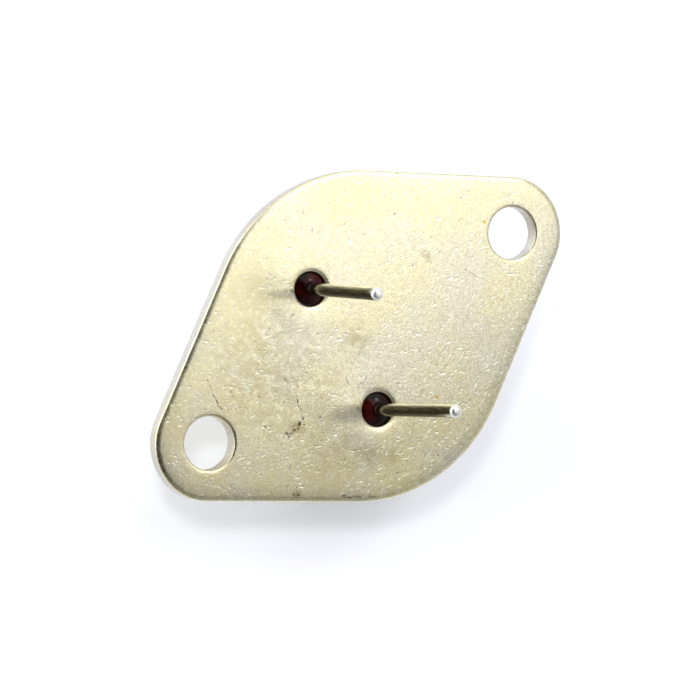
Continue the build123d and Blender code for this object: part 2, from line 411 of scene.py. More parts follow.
cloud = noise_at(tree, place, 1.1, detail=4.0, roughness=0.65)
warmth = patches(tree, flat_place, warm_patches)
warmth = calc(tree, "MULTIPLY", warmth, smooth_step(tree, cloud, 0.15, 0.75))
tone = blend_colours(tree, warmth, tone, straw)
# Brown stains, one of which also paints the shade of a small fold.
stained_and_shaded = patches(tree, flat_place, plate_stains_and_fold_shade)
stained_and_shaded = calc(tree, "MULTIPLY", stained_and_shaded, smooth_step(tree, cloud, 0.36, 0.58))
tone = blend_colours(tree, stained_and_shaded, tone, stain_and_shade_brown)
tone = blend_colours(tree, marks, tone, scratch_black)
print("stains:", len(plate_stains_and_fold_shade), "warm patches:", len(warm_patches))

# %% [markdown]
# Tarnish gathers where the sheet rolls over at its rim, and lies as a thin brown line on the roll
# itself. On the side of the roll facing 150 degrees the line is darker: painted dark reflection. A
# faint brown band on the slope inside it, facing 190 degrees, is painted dark reflection too, and the
# wall that faces +Y is greyed with painted shade. How steep a slope is, and which way it faces, is
# read from the surface normal, so this needs no image either. Two pinheads of rust finish the face.

# %% Tarnish and painted dark reflection on the rim, painted shade on the wall, and rust on the face
# Colours for tarnish with painted dark reflection, for painted wall shade, and for rust.
tarnish_and_reflection_brown = (0.24, 0.17, 0.08, 1)
wall_shade_grey = (0.34, 0.28, 0.25, 1)
rust_orange = (0.72, 0.42, 0.03, 1)
rust_spots = [((13.44, 2.04), 0.24, 1.0), ((2.85, -7.34), 0.22, 1.0)]

normal = add_node(tree, "ShaderNodeTexCoord").outputs["Normal"]
up = split(tree, normal)[2]
sideways = calc(tree, "SUBTRACT", 1.0, calc(tree, "POWER", up, 2.0))
sideways = calc(tree, "SQRT", calc(tree, "MAXIMUM", sideways, 0.0001))


def slope_toward(heading, low, high):
    """1 where a slope faces the heading, in degrees, fading to 0 as it turns away."""
    toward = (cos(radians(heading)), sin(radians(heading)), 0.0)
    cosine = calc(tree, "DIVIDE", vector_measure(tree, "DOT_PRODUCT", normal, toward), sideways)
    return smooth_step(tree, cosine, low, high)


# A thin brown line on the roll: tarnish all round, plus painted dark reflection on the side facing 150
# degrees.
rim_tarnish_and_reflection_line = calc(tree, "MULTIPLY", smooth_step(tree, up, 0.985, 0.93), smooth_step(tree, up, 0.50, 0.72))
tarnish_and_reflection_share = calc(tree, "MULTIPLY_ADD", slope_toward(150, 0.1, 0.8), 0.12, 0.05)
uneven = calc(tree, "MULTIPLY_ADD", smooth_step(tree, noise_at(tree, place, 2.2), 0.35, 0.60), 0.4, 0.75)
rim_tarnish_and_reflection_line = calc(tree, "MULTIPLY", calc(tree, "MULTIPLY", rim_tarnish_and_reflection_line, tarnish_and_reflection_share), uneven)
# A faint brown band on the slope inside the roll, on the side facing 190 degrees: painted dark reflection.
rim_painted_reflection_band = calc(tree, "MULTIPLY", smooth_step(tree, up, 0.9985, 0.985), slope_toward(190, 0.3, 0.95))
rim_painted_reflection_band = calc(tree, "MULTIPLY", rim_painted_reflection_band, 0.17)
tone = blend_colours(tree, calc(tree, "MAXIMUM", rim_tarnish_and_reflection_line, rim_painted_reflection_band), tone, tarnish_and_reflection_brown)
# The wall that faces 82 degrees is greyed: painted shade.
wall_shade = calc(tree, "MULTIPLY", smooth_step(tree, up, 0.80, 0.40), slope_toward(82, 0.80, 0.97))
tone = blend_colours(tree, calc(tree, "MULTIPLY", wall_shade, 0.45), tone, wall_shade_grey)
tone = blend_colours(tree, patches(tree, flat_place, rust_spots), tone, rust_orange)
tree.links.new(tone, shader.inputs["Base Color"])
print("plate nickel:", len(tree.nodes), "nodes")

# %% The can's finish: the same nickel, greyer and smoother
can_nickel, *_ = satin_nickel(
    "can nickel", warm=(0.66, 0.62, 0.47, 1), cool=(0.60, 0.575, 0.47, 1), wall=(0.47, 0.45, 0.385, 1),
    roughness=0.27, grain_height=0.0010, nick_height=0.006)
print("can nickel:", len(can_nickel.node_tree.nodes), "nodes")

# %% [markdown]
# ## Glass, lead wire and the metals inside
# The sealing glass is almost black, with iron-red where light gets into it, and has a wet gloss.
# The leads are drawn wire, so their clouds and bump are stretched along them into fine lines. The
# shears cut them to length and left the metal at the tip paler and duller. The can hides the metals
# inside, but whoever opens the model finds each in its own colour.

# %% A recipe for the plainer finishes
def plain_finish(name, metallic, roughness, colours, scale, stretch=(1, 1, 1), bump_height=0.001):
    """A finish whose colour and roughness drift in clouds, with a bump, all stretched as asked."""
    finish, tree, shader = new_finish(name, metallic)
    place = vector_calc(tree, "MULTIPLY", millimetres(tree), stretch)
    clouds = noise_at(tree, place, scale, detail=3.0)
    tone = blend_colours(tree, smooth_step(tree, clouds, 0.35, 0.65), *colours)
    tree.links.new(tone, shader.inputs["Base Color"])
    set_roughness(tree, shader, clouds, roughness * 0.8, roughness * 1.2)
    set_bump(tree, shader, clouds, bump_height)
    return finish


# %% Sealing glass
seal_glass = plain_finish("seal glass", 0.0, 0.09, ((0.002, 0.0003, 0.0003, 1), (0.038, 0.0035, 0.0025, 1)),
                          0.9, bump_height=0.006)
shader = seal_glass.node_tree.nodes["Principled BSDF"]
shader.inputs["IOR"].default_value = 1.5
shader.inputs["Specular IOR Level"].default_value = 0.16
print("seal glass:", len(seal_glass.node_tree.nodes), "nodes")

# %% Lead wire, and its sheared tip
shear_low, shear_high = 11.0, 11.3
sheared_tone = (0.80, 0.79, 0.76, 1)
lead_wire = plain_finish("lead wire", 1.0, 0.12, ((0.55, 0.52, 0.41, 1), (0.28, 0.26, 0.17, 1)), 3.0,
                         stretch=(3.0, 3.0, 0.22), bump_height=0.004)
tree = lead_wire.node_tree
shader = tree.nodes["Principled BSDF"]
sheared = smooth_step(tree, split(tree, millimetres(tree))[2], shear_low, shear_high)
drawn_roughness = shader.inputs["Roughness"].links[0].from_socket
tree.links.new(calc(tree, "MULTIPLY_ADD", sheared, 0.25, drawn_roughness), shader.inputs["Roughness"])
drawn_tone = shader.inputs["Base Color"].links[0].from_socket
tree.links.new(blend_colours(tree, sheared, drawn_tone, sheared_tone), shader.inputs["Base Color"])
print("lead wire:", len(tree.nodes), "nodes")

# %% The metals and the chip inside the can
# Each is (name, metallic, roughness, two tones, cloud scale, the CAD nodes made of it).
inner_finishes = [
    ("silver braze", 1.0, 0.35, ((0.72, 0.69, 0.58, 1), (0.60, 0.56, 0.45, 1)), 2.0, ["spreader_braze"]),
    ("bare copper", 1.0, 0.30, ((0.78, 0.43, 0.28, 1), (0.62, 0.30, 0.19, 1)), 0.8, ["heat_spreader"]),
    ("soft solder", 1.0, 0.45, ((0.60, 0.60, 0.61, 1), (0.48, 0.48, 0.50, 1)), 2.5, ["die_solder"]),
    ("polished silicon", 0.2, 0.18, ((0.16, 0.16, 0.20, 1), (0.22, 0.20, 0.26, 1)), 1.4, ["regulator_die"]),
    ("bond wire", 1.0, 0.25, ((0.84, 0.84, 0.85, 1), (0.74, 0.74, 0.76, 1)), 3.0,
     ["input_wire", "output_wire", "sense_wire", "ground_wire"]),
]
for name, metallic, roughness, colours, scale, nodes in inner_finishes:
    finish = plain_finish(name, metallic, roughness, colours, scale)
    for node in nodes:
        mesh = frame["nodes"][node].data
        mesh.materials.clear()
        mesh.materials.append(finish)
print("inner finishes:", len(inner_finishes))

# %% [markdown]
# ## The flange: its outline
# The lozenge is the tightest string round three discs: a big one in the middle and a small one
# round each mounting hole. The string touches two neighbouring discs at the same angle, whose
# cosine is the difference of their radii over the distance between their centres. Each point of
# the outline also keeps its outward direction, which the rolled edge needs.

# %% Walk round the outline
touch_angle = acos((middle_radius - ear_radius) / hole_x)


def stretch_of_arc(centre_x, radius, start, end, spacing):
    """Points (x, y, nx, ny) on an arc round (centre_x, 0), with their outward directions."""
    count = ceil(radius * (end - start) / spacing)
    angles = [start + (end - start) * i / count for i in range(count + 1)]
    return [(centre_x + radius * cos(a), radius * sin(a), cos(a), sin(a)) for a in angles]


def add_straights(stretches, spacing):
    """Join the arcs into one ring, with evenly spaced points along the straights between them."""
    ring = []
    for i, stretch in enumerate(stretches):
        ring += stretch
        (ax, ay, nx, ny), (bx, by, _, _) = stretch[-1], stretches[(i + 1) % len(stretches)][0]
        count = ceil(hypot(bx - ax, by - ay) / spacing)
        ring += [(ax + (bx - ax) * k / count, ay + (by - ay) * k / count, nx, ny) for k in range(1, count)]
    return ring


rim_spacing = 0.16
outline = add_straights([
    stretch_of_arc(hole_x, ear_radius, -touch_angle, touch_angle, rim_spacing),
    stretch_of_arc(0.0, middle_radius, touch_angle, pi - touch_angle, rim_spacing),
    stretch_of_arc(-hole_x, ear_radius, pi - touch_angle, pi + touch_angle, rim_spacing),
    stretch_of_arc(0.0, middle_radius, pi + touch_angle, 2 * pi - touch_angle, rim_spacing),
], rim_spacing)
print("outline points:", len(outline), "touch angle", round(degrees(touch_angle), 2))

# %% [markdown]
# ## The flange: its edges
# A stamping die drags the rim of the sheet down before it cuts, so the seating face slopes away
# gently over the last millimetre and then rolls over into the wall. That slope catches the light
# as a pale band with a thin dark line outside it. The profile is walked like a path: each stretch
# has a length and turns from one tilt to another. The holes and the eyelets have smaller rolls.

# %% Profiles for the rim and the holes
def walk_profile(stretches):
    """Walk outwards and down from (0, 0). Each stretch is (length, first tilt, last tilt, steps).

    Lengths are in millimetres and tilts in degrees below level.
    """
    out, z, points = 0.0, 0.0, [(0.0, 0.0)]
    for length, first, last, steps in stretches:
        for i in range(steps):
            tilt = radians(first + (last - first) * (i + 0.5) / steps)
            out += cos(tilt) * length / steps
            z -= sin(tilt) * length / steps
            points.append((out, z))
    return points


def edge_profile(stretches, back_break):
    """Points (distance in from the wall, z): over the rolled edge, down the wall and round to the back.

    back_break is the radius of the broken edge at the back.
    """
    walked = walk_profile(stretches)
    reach, roll_end = walked[-1]
    wall_end = back_z + back_break
    points = [(reach - out, z) for out, z in walked]
    points += [(0.0, roll_end + (wall_end - roll_end) * k / 4) for k in range(1, 5)]
    for k in range(1, 5):
        turn = k * pi / 8
        points.append((back_break * (1 - cos(turn)), wall_end - back_break * sin(turn)))
    points.append((back_break + 0.25, wall_end - back_break))
    return points


rim_profile = edge_profile([(0.85, 0, 4, 6), (0.36, 4, 38, 8), (0.26, 38, 90, 8)], 0.25)
hole_profile = edge_profile([(0.25, 0, 3, 2), (0.22, 3, 55, 6), (0.12, 55, 90, 4)], 0.1)
eyelet_profile = edge_profile([(0.26, 0, 7, 3), (0.26, 7, 52, 7), (0.11, 52, 90, 4)], 0.1)
print("rim profile:", len(rim_profile), "points, reach", round(rim_profile[0][0], 3), "mm")

# %% [markdown]
# ## The flange: its face
# A stamped face is flat only to the eye. It waves by a few thousandths of a millimetre, swells a
# little round each eyelet, most on one side, and has four shallow folds, of which the deepest two
# run past the eyelets. The sheen of satin metal shows such slopes, so they are in the mesh itself.
# The whole face lies a little low, so that even its highest point stays within the seating plane.
# It is filled with a fine even net of points, and Delaunay triangulation joins them without
# slivers.

# %% Where the holes are in the face
eyelets = {}
for name in ("input_seal", "output_seal"):
    low, high = box_mm(name)
    eyelets[name] = ((low.x + high.x) / 2, (low.y + high.y) / 2)
seal_low, seal_high = box_mm("input_seal")
eyelet_radius = (seal_high.x - seal_low.x) / 2

# Each hole is (x, y, radius, profile, points round it).
holes = [(-hole_x, 0.0, hole_radius, hole_profile, 120), (hole_x, 0.0, hole_radius, hole_profile, 120)]
holes += [(x, y, eyelet_radius, eyelet_profile, 88) for x, y in eyelets.values()]
print("eyelets:", {name: (round(x, 2), round(y, 2)) for name, (x, y) in eyelets.items()})

# %% Height of the face, and the distance in from the rim
# Each wave is (height, length, layer of the noise). Each fold is (start, end, width, drop).
waves = [(0.006, 4.5, 3.1), (0.0018, 1.3, 7.7)]
folds = [
    ((-6.2, 7.5), (-0.7, 4.2), 0.46, 0.076), ((-6.4, -3.1), (-0.9, -6.5), 0.85, 0.084),
    ((-11.6, 3.6), (-2.4, -3.6), 0.26, -0.016), ((-3.6, 2.9), (0.4, 0.4), 0.9, 0.012),
]
# The swell is a low ring round each eyelet, highest toward its heading.
swell_radius, swell_width, swell_heading = 2.6, 1.5, radians(160)
swell_all_round, swell_one_side = 0.012, 0.030
face_drop = 0.086


def fold(x, y, start, end, width, drop):
    """A shallow fold along a line: the metal drops across it, and the fold dies out at both ends."""
    run_x, run_y = end[0] - start[0], end[1] - start[1]
    length = hypot(run_x, run_y)
    along = ((x - start[0]) * run_x + (y - start[1]) * run_y) / length**2
    across = (run_x * (y - start[1]) - run_y * (x - start[0])) / (length * width)
    if not 0 < along < 1 or abs(across) > 3.5:
        return 0.0
    return drop * (4 * along * (1 - along)) ** 2 * across * exp(-(across**2))


def face_height(x, y):
    """How far the real face leaves the flat one, in millimetres."""
    height = sum(rise * noise.noise(Vector((x / length, y / length, layer))) for rise, length, layer in waves)
    for eyelet_x, eyelet_y in eyelets.values():
        away = hypot(x - eyelet_x, y - eyelet_y)
        facing = max(0.0, cos(atan2(y - eyelet_y, x - eyelet_x) - swell_heading))
        ring = max(0.0, 1 - ((away - swell_radius) / swell_width) ** 2) ** 2
        height += (swell_all_round + swell_one_side * facing**2) * ring
    return height + sum(fold(x, y, *line) for line in folds) - face_drop


def distance_inside(x, y):
    """Distance from a point in to the outline."""
    x, y = abs(x), abs(y)
    along = y * cos(touch_angle) - x * sin(touch_angle)
    if along >= 0:
        return middle_radius - hypot(x, y)
    if along <= -hole_x * sin(touch_angle):
        return ear_radius - hypot(x - hole_x, y)
    return middle_radius - x * cos(touch_angle) - y * sin(touch_angle)


print("face height in the middle:", round(face_height(0, 0), 4), "mm")


# %% Build the walls: one ring of points for each point of a profile
points, faces = [], []
# The waves of the face have died out at calm_depth. A ragged edge wanders down to roll_depth.
calm_depth, roll_depth = 0.35, 0.5


def add_point(x, y, z):
    """A wall point. Near the face it follows the waves of the face."""
    follow = min(1.0, max(0.0, 1 + z / calm_depth))
    points.append((x, y, min(z + follow * face_height(x, y), 0.0)))
    return len(points) - 1


def add_wall(places, profile, into_metal, ragged=0.0):
    """places are (x, y, nx, ny). A ragged edge wanders along its roll. Returns the first and last ring."""
    rings, reach = [], profile[0][0]
    for inset, z in profile:
        share = min(1.0, inset / reach)
        wander = 0.5 * reach * share * (1 - share) * ragged if z > -roll_depth else 0.0
        ring = []
        for x, y, nx, ny in places:
            worn = inset + wander * noise.noise(Vector((x * 2, y * 2, 4.7)))
            ring.append(add_point(x + into_metal * nx * worn, y + into_metal * ny * worn, z))
        rings.append(ring)
    for upper, lower in zip(rings, rings[1:]):
        for i in range(len(places)):
            j = (i + 1) % len(places)
            faces.append((upper[i], lower[i], lower[j], upper[j]))
    return rings[0], rings[-1]


top_rings, back_rings = [], []
first, last = add_wall(outline, rim_profile, -1, ragged=0.35)
top_rings.append(first)
back_rings.append(last)
for x, y, radius, profile, count in holes:
    turns = [2 * pi * i / count for i in range(count)]
    circle = [(x + radius * cos(a), y + radius * sin(a), cos(a), sin(a)) for a in turns]
    first, last = add_wall(circle, profile, 1)
    top_rings.append(first)
    back_rings.append(last)
print("wall points:", len(points))


# %% Fill the seating face and the back
# The height of a triangle with equal sides, over its side.
row_share = 0.866


def fill(rings, z, step, rim_gap):
    """Fill the face or the back: a net of points a step apart between the rings, joined into triangles."""
    index = [i for ring in rings for i in ring]
    edges, start = [], 0
    for ring in rings:
        edges += [(start + i, start + (i + 1) % len(ring)) for i in range(len(ring))]
        start += len(ring)
    # A profile starts at the face and ends at the back. Points and triangles keep clear of its mouth.
    mouth = 0 if z == 0 else -1
    clear = [(x, y, radius + profile[mouth][0] + 0.5 * step) for x, y, radius, profile, _ in holes]
    rows = ceil(2 * middle_radius / (step * row_share))
    columns = ceil(2 * plate_high.x / step)
    for row in range(rows):
        for column in range(columns):
            x = -plate_high.x + (column + 0.5 * (row % 2)) * step
            y = -middle_radius + row * step * row_share
            x += 0.2 * step * noise.noise(Vector((x * 5, y * 5, 1.5)))
            y += 0.2 * step * noise.noise(Vector((x * 5, y * 5, 8.5)))
            if distance_inside(x, y) < rim_gap + 0.5 * step:
                continue
            if any(hypot(x - cx, y - cy) < keep for cx, cy, keep in clear):
                continue
            index.append(len(points))
            points.append((x, y, face_height(x, y) if z == 0 else z))
    flat = [Vector(points[i][:2]) for i in index]
    result = delaunay_2d_cdt(flat, edges, [], 1, 1e-6)
    places, triangles, origin = result[0], result[2], result[3]
    made = 0
    for triangle in triangles:
        centre = sum((places[k] for k in triangle), Vector((0, 0))) / 3
        if any(hypot(centre.x - cx, centre.y - cy) < keep - 0.5 * step for cx, cy, keep in clear):
            continue
        corners = [index[origin[k][0]] for k in triangle]
        faces.append(corners if z == 0 else corners[::-1])
        made += 1
    return made


print("face triangles:", fill(top_rings, 0, 0.22, rim_profile[0][0]))
print("back triangles:", fill(back_rings, back_z, 0.8, rim_profile[-1][0]))


# %% Turn the points into the finished flange
def make_piece(name, points, faces, finish):
    """A smooth-shaded mesh object from points in millimetres, its faces turned outwards."""
    mesh = bpy.data.meshes.new(name)
    mesh.from_pydata([(x * MM, y * MM, z * MM) for x, y, z in points], [], faces)
    work = bmesh.new()
    work.from_mesh(mesh)
    bmesh.ops.recalc_face_normals(work, faces=work.faces)
    open_edges = sum(1 for edge in work.edges if not edge.is_manifold)
    print(name, "volume", round(work.calc_volume() / MM**3, 2), "mm3, open edges", open_edges)
    work.to_mesh(mesh)
    work.free()
    mesh.polygons.foreach_set("use_smooth", [True] * len(mesh.polygons))
    mesh.materials.append(finish)
    piece = bpy.data.objects.new(name, mesh)
    bpy.context.collection.objects.link(piece)
    return piece


flange = make_piece("stamped_flange", points, faces, plate_nickel)

# %% [markdown]
# ## Turned pieces with Geometry Nodes
# The can, the glass seals and the leads are all round, so one rule makes them: take a profile and
# carry it round an axis. The modifier sits on the profile itself, a chain of points whose X is
# the radius and Z the height. A grid has one column for each step round and one row for each
# profile point, and every grid point looks up its row's radius and height. Merging points closes
# the seam and the poles. A lead also leans: above a given height its centre line follows a short
# arc and then a straight line, so the same tree bends it.

# %% The tree that turns a profile into a piece
def make_turning_tree():
    """Turn a profile, X its radius and Z its height, into a closed piece round an upright axis at Seat.

    Above Lean start the axis bends by Lean, in radians, on an arc of Bend radius.
    """
    tree = bpy.data.node_groups.new("turned piece", "GeometryNodeTree")
    name_sockets(tree, "INPUT", "Geometry", "Profile")
    name_sockets(tree, "INPUT", "Int", "Steps round")
    name_sockets(tree, "INPUT", "Vector", "Seat")
    name_sockets(tree, "INPUT", "Float", "Lean", "Lean heading", "Lean start", "Bend radius")
    name_sockets(tree, "INPUT", "Material", "Finish")
    name_sockets(tree, "OUTPUT", "Geometry", "Piece")
    given = add_node(tree, "NodeGroupInput").outputs

    # A grid one unit wide. Its X becomes the angle, and its Y says which profile point to look up.
    rows = add_node(tree, "GeometryNodeAttributeDomainSize", {0: given["Profile"]}).outputs["Point Count"]
    columns = calc(tree, "ADD", given["Steps round"], 1)
    size = {"Size X": 1.0, "Size Y": 1.0, "Vertices X": columns, "Vertices Y": rows}
    grid = add_node(tree, "GeometryNodeMeshGrid", size).outputs["Mesh"]
    own_place = add_node(tree, "GeometryNodeInputPosition").outputs[0]
    at = split(tree, own_place)
    angle = calc(tree, "MULTIPLY", calc(tree, "ADD", at[0], 0.5), 2 * pi)
    row = calc(tree, "MULTIPLY", calc(tree, "ADD", at[1], 0.5), calc(tree, "SUBTRACT", rows, 1))
    row = calc(tree, "ROUND", row)
    sampled = {"Geometry": given["Profile"], "Value": own_place, "Index": row}
    looked_up = add_node(tree, "GeometryNodeSampleIndex", sampled, data_type="FLOAT_VECTOR", domain="POINT")
    profile = split(tree, looked_up.outputs[0])
    radius, height = profile[0], profile[2]

    # The centre line: upright to the lean's start, then an arc, then straight.
    above = calc(tree, "MAXIMUM", calc(tree, "SUBTRACT", height, given["Lean start"]), 0.0)
    bend = calc(tree, "MINIMUM", calc(tree, "DIVIDE", above, given["Bend radius"]), given["Lean"])
    straight = calc(tree, "SUBTRACT", above, calc(tree, "MULTIPLY", bend, given["Bend radius"]))
    cosine, sine = calc(tree, "COSINE", bend), calc(tree, "SINE", bend)
    side = calc(tree, "MULTIPLY", given["Bend radius"], calc(tree, "SUBTRACT", 1.0, cosine))
    side = calc(tree, "MULTIPLY_ADD", straight, sine, side)
    rise = calc(tree, "MULTIPLY", given["Bend radius"], sine)
    rise = calc(tree, "MULTIPLY_ADD", straight, cosine, rise)
    rise = calc(tree, "ADD", rise, calc(tree, "MINIMUM", height, given["Lean start"]))

    # The ring round it, square to the centre line.
    toward = calc(tree, "MULTIPLY", radius, calc(tree, "COSINE", angle))
    across = calc(tree, "MULTIPLY", radius, calc(tree, "SINE", angle))
    x = calc(tree, "MULTIPLY_ADD", toward, cosine, side)
    z = calc(tree, "SUBTRACT", rise, calc(tree, "MULTIPLY", toward, sine))
    ring = add_node(tree, "ShaderNodeCombineXYZ", {0: x, 1: across, 2: z}).outputs[0]
    ring = add_node(tree, "ShaderNodeVectorRotate", {"Vector": ring, "Angle": given["Lean heading"]},
                    rotation_type="Z_AXIS").outputs[0]
    ring = vector_calc(tree, "ADD", ring, given["Seat"])

    # Each of the last steps hands its geometry on to the next.
    done = grid
    for kind, inputs in (
        ("SetPosition", {"Position": ring}),
        ("MergeByDistance", {"Distance": 1e-7}),
        ("SetShadeSmooth", {"Shade Smooth": True}),
        ("RealizeInstances", {}),
        ("SetMaterial", {"Material": given["Finish"]}),
    ):
        done = add_node(tree, "GeometryNode" + kind, {"Geometry": done, **inputs}).outputs[0]
    add_node(tree, "NodeGroupOutput", {"Piece": done})
    return tree


turning_tree = make_turning_tree()
print("turning tree:", len(turning_tree.nodes), "nodes")


# %% Run the tree and keep a plain mesh
def turn_piece(name, profile, finish, steps,
               seat=(0, 0), lean=0.0, heading=0.0, lean_start=0.0, bend_radius=1.0):
    """Turn a profile of (radius, z) in millimetres round an upright axis at seat."""
    mesh = bpy.data.meshes.new(name + "_profile")
    chain = [(k, k + 1) for k in range(len(profile) - 1)]
    mesh.from_pydata([(radius * MM, 0, z * MM) for radius, z in profile], chain, [])
    shaper = bpy.data.objects.new(name + "_shaper", mesh)
    bpy.context.collection.objects.link(shaper)
    modifier = shaper.modifiers.new("turn", "NODES")
    modifier.node_group = turning_tree
    values = {
        "Steps round": steps, "Seat": (seat[0] * MM, seat[1] * MM, 0.0), "Finish": finish,
        "Lean": lean, "Lean heading": heading, "Lean start": lean_start * MM, "Bend radius": bend_radius * MM,
    }
    for socket in turning_tree.interface.items_tree:
        if socket.in_out == "INPUT" and socket.name in values:
            modifier[socket.identifier] = values[socket.name]
    evaluated = shaper.evaluated_get(bpy.context.evaluated_depsgraph_get())
    made = bpy.data.meshes.new_from_object(evaluated)
    bpy.data.objects.remove(shaper)
    work = bmesh.new()
    work.from_mesh(made)
    if work.calc_volume(signed=True) < 0:
        bmesh.ops.reverse_faces(work, faces=work.faces)
    open_edges = sum(1 for edge in work.edges if not edge.is_manifold)
    print(name, "volume", round(work.calc_volume() / MM**3, 3), "mm3, open edges", open_edges)
    work.to_mesh(made)
    work.free()
    made.name = name
    piece = bpy.data.objects.new(name, made)
    bpy.context.collection.objects.link(piece)
    return piece


def arc(centre_r, centre_z, radius, start, end, steps):
    """Profile points on an arc, angles in degrees, 0 outwards and 90 up."""
    angles = [radians(start + (end - start) * k / steps) for k in range(steps + 1)]
    return [(centre_r + radius * cos(a), centre_z + radius * sin(a)) for a in angles]


# %% [markdown]
# ## The can
# The can is drawn from one disc of steel: the flat top, a round shoulder, the wall, and a rim that
# is turned out and welded to the flange. The weld lies between the rim and the flange, so none of
# it shows. The shell has an inside too, because it is closed in the CAD model as well. Extra
# points beside each bend keep smooth shading from spilling over the flats.

# %% Turn the can
top_z = cap_low.z
rim_radius = cap_high.x
rim_width = 1.3
wall = 0.5
can_radius = rim_radius - rim_width
bore_radius = can_radius - wall
shoulder, inner_shoulder = 1.1, 0.6
rim_bend, rim_edge = 0.35, 0.14
rim_low = back_z - wall
mid_z = -4.6
shoulder_start = can_radius - shoulder

can_profile = [(radius, top_z) for radius in (0.0, 2.5, 5.0, 7.2, 8.2, shoulder_start - 0.08)]
can_profile += arc(shoulder_start, top_z + shoulder, shoulder, -90, 0, 14)
can_profile += [(can_radius, z) for z in (top_z + shoulder + 0.1, mid_z, rim_low - rim_bend - 0.05)]
can_profile += arc(can_radius + rim_bend, rim_low - rim_bend, rim_bend, 180, 90, 8)
can_profile += [(can_radius + rim_bend + 0.05, rim_low), (rim_radius - 0.2, rim_low)]
can_profile += arc(rim_radius - rim_edge, rim_low + rim_edge, rim_edge, -90, 0, 5)
can_profile += [(rim_radius, back_z - 0.1), (rim_radius, back_z), (bore_radius + rim_bend, back_z)]
can_profile += arc(bore_radius + rim_bend, back_z - rim_bend, rim_bend, 90, 180, 6)[1:]
can_profile += [(bore_radius, mid_z), (bore_radius, top_z + shoulder + 0.05)]
can_profile += arc(bore_radius - inner_shoulder, top_z + wall + inner_shoulder, inner_shoulder, 0, -90, 8)
can_profile += [(5.0, top_z + wall), (0.0, top_z + wall)]
can = turn_piece("drawn_can", can_profile, can_nickel, 192)

# %% [markdown]
# ## Seals and leads
# Molten glass creeps up the wire and hangs a little below the face at the eyelet's wall, so its
# bead is highest at the lead. Each lead has a nail head inside the can for the bond wires, and a
# tip that the shears and the barrel have rounded. The mounts in the record say which way each one
# leans.

# %% Turn the seals
glass_top, glass_edge = seal_high.z, -0.42
groove_width, groove_depth = 0.03, 0.09
bead_radius = lead_radius + groove_width
seal_profile = [(lead_radius, glass_top - groove_depth)]
for k in range(13):
    share = k / 12
    radius = bead_radius + (eyelet_radius - bead_radius) * share
    seal_profile.append((radius, glass_top + (glass_edge - glass_top) * share**1.3))
seal_profile += [(radius, back_z - z) for radius, z in seal_profile[::-1]]
seal_profile.append(seal_profile[0])
seals = {}
for name, seat in eyelets.items():
    seals[name] = turn_piece(name + "_glass", seal_profile, seal_glass, 96, seat=seat)

# %% Turn the leads
lead_foot, lead_length = (corner.z for corner in box_mm("input_lead"))
head_radius, head_height, head_edge = 0.75, 0.35, 0.1
head_flat = head_radius - head_edge
tip_roll = 0.33
bend_start, lead_bend = 0.3, 3.0

# The foot and its head, the shank with close points where it bends, then the tip.
lead_profile = [(0.0, lead_foot), (head_flat - 0.03, lead_foot)]
lead_profile += arc(head_flat, lead_foot + head_edge, head_edge, -90, 0, 4)
lead_profile += arc(head_flat, lead_foot + head_height - head_edge, head_edge, 0, 90, 4)
lead_profile += [(lead_radius + 0.05, lead_foot + head_height), (lead_radius, lead_foot + head_height + 0.05)]
lead_profile += [(lead_radius, z) for z in (lead_foot + head_height + 0.15, -1.0, 0.0)]
lead_profile += [(lead_radius, 0.25 + 0.05 * k) for k in range(9)]
lead_profile += [(lead_radius, 0.75 + 0.5 * k) for k in range(20)]
lead_profile += arc(lead_radius - tip_roll, lead_length - tip_roll, tip_roll, 0, 78, 10)
lead_profile += [(0.03, lead_length), (0.0, lead_length)]
leads = {}
for node, seal in (("input_lead", "input_seal"), ("output_lead", "output_seal")):
    axis = Vector(mounts[node + "_shank"]["axis"])
    lean, heading = acos(axis.z), atan2(axis.y, axis.x)
    leads[node] = turn_piece(node + "_wire", lead_profile, lead_wire, 64, seat=eyelets[seal],
                             lean=lean, heading=heading, lean_start=bend_start, bend_radius=lead_bend)
    print(node, "leans", round(degrees(lean), 2), "degrees")

# %% [markdown]
# ## Tie the pieces to the CAD model
# Nothing on a regulator moves, so every piece rides on the one body. Each replaces the CAD node
# that it is a finer version of.

# %% Ride and replace
dressed = [(flange, "header_flange", "nickel_plate"), (can, "cap", "nickel_can")]
dressed += [(piece, node, "seal_glass") for node, piece in seals.items()]
dressed += [(piece, node, "lead_metal") for node, piece in leads.items()]
for piece, node, slot in dressed:
    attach(piece, "root")
    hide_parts(node)
print("pieces:", [piece.name for piece, _, _ in dressed])

# %% [markdown]
# ## The table
# A plain pale sheet lies under the part. For the light that it throws back on the part its colour
# is just off white. The camera and reflections see it whiter, with a slight glow, so that it reads
# as clean paper and still keeps the part's shadow.

# %% Lay the table
table_reach, table_z = 1.5, top_z * MM
corners = [(-1, -1), (1, -1), (1, 1), (-1, 1)]
table_mesh = bpy.data.meshes.new("table")
table_mesh.from_pydata([(x * table_reach, y * table_reach, table_z) for x, y in corners], [], [(0, 1, 2, 3)])
table = bpy.data.objects.new("table", table_mesh)
bpy.context.collection.objects.link(table)
print("table at z", round(top_z, 3), "mm")

